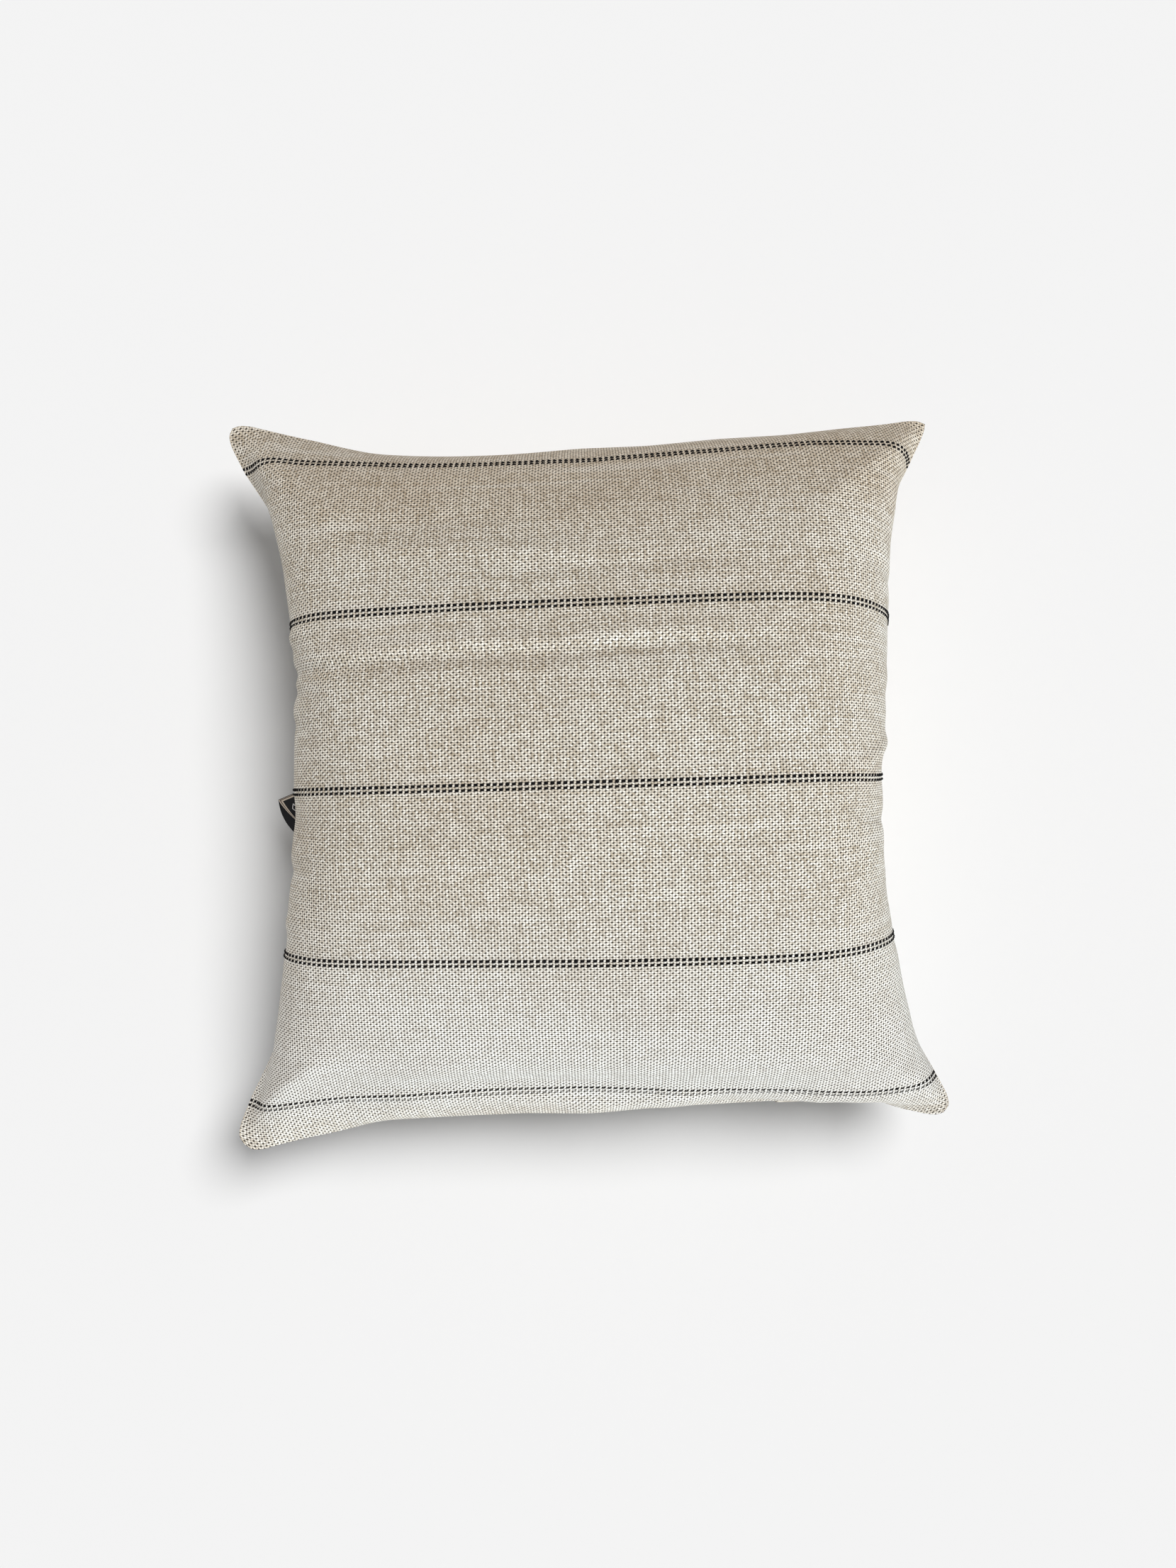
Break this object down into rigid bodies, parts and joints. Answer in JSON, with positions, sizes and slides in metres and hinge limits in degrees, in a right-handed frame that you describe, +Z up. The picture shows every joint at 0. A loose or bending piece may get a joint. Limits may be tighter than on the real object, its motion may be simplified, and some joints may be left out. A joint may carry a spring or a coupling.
{
  "type": "throw pillow",
  "caption": "Plump square throw pillow in coarse natural plain weave with thin dark woven stripes, a side loop label and a zipped cover over a fibre-filled insert.",
  "frame": {"origin": "on the surface the pillow lies on, below the middle of its box", "axes": "+Z up out of the front panel, +Y towards the top edge, +X towards the right edge; the zip is in the -Y seam"},
  "size_m": [0.498, 0.504, 0.155],
  "materials": {
    "cover_cloth": "matte",
    "sewing_thread": "matte",
    "label_tape": "satin",
    "zip_tape": "matte",
    "zip_coil": "satin",
    "zip_metal": "satin",
    "casing_cloth": "matte",
    "polyester_fibre": "matte"
  },
  "bodies": {
    "cover": {"cover_front_panel": "cover_cloth", "cover_back_panel": "cover_cloth", "cover_seam_thread": "sewing_thread", "zipper_tape_front": "zip_tape", "zipper_tape_back": "zip_tape", "zipper_coil_front": "zip_coil", "zipper_coil_back": "zip_coil", "zipper_stitching_front": "sewing_thread", "zipper_stitching_back": "sewing_thread", "zipper_top_stops": "zip_metal", "zipper_bottom_stop": "zip_metal", "insert_casing_front": "casing_cloth", "insert_casing_back": "casing_cloth", "insert_seam_thread": "sewing_thread", "fibre_filling": "polyester_fibre"},
    "zipper_slider": {"zipper_slider_body": "zip_metal"},
    "zipper_pull": {"zipper_pull_tab": "zip_metal"},
    "label": {"woven_label": "label_tape"}
  },
  "joints": [
    {"name": "zip_slide", "type": "slide", "parent": "cover", "child": "zipper_slider", "axis": [-0.999, -0.0449, 0], "range_m": [0, 0.303]},
    {"name": "pull_flip", "type": "hinge", "parent": "zipper_slider", "child": "zipper_pull", "pos_m": [0.15583, -0.22272, 0.06], "axis": [0, 0, 1], "range_deg": [0, 178]},
    {"name": "label_bend", "type": "hinge", "parent": "cover", "child": "label", "pos_m": [-0.20435, -0.019, 0.062], "axis": [0, 1, 0], "range_deg": [-45, 20], "stiffness_Nm_per_rad": 0.0001}
  ]
}
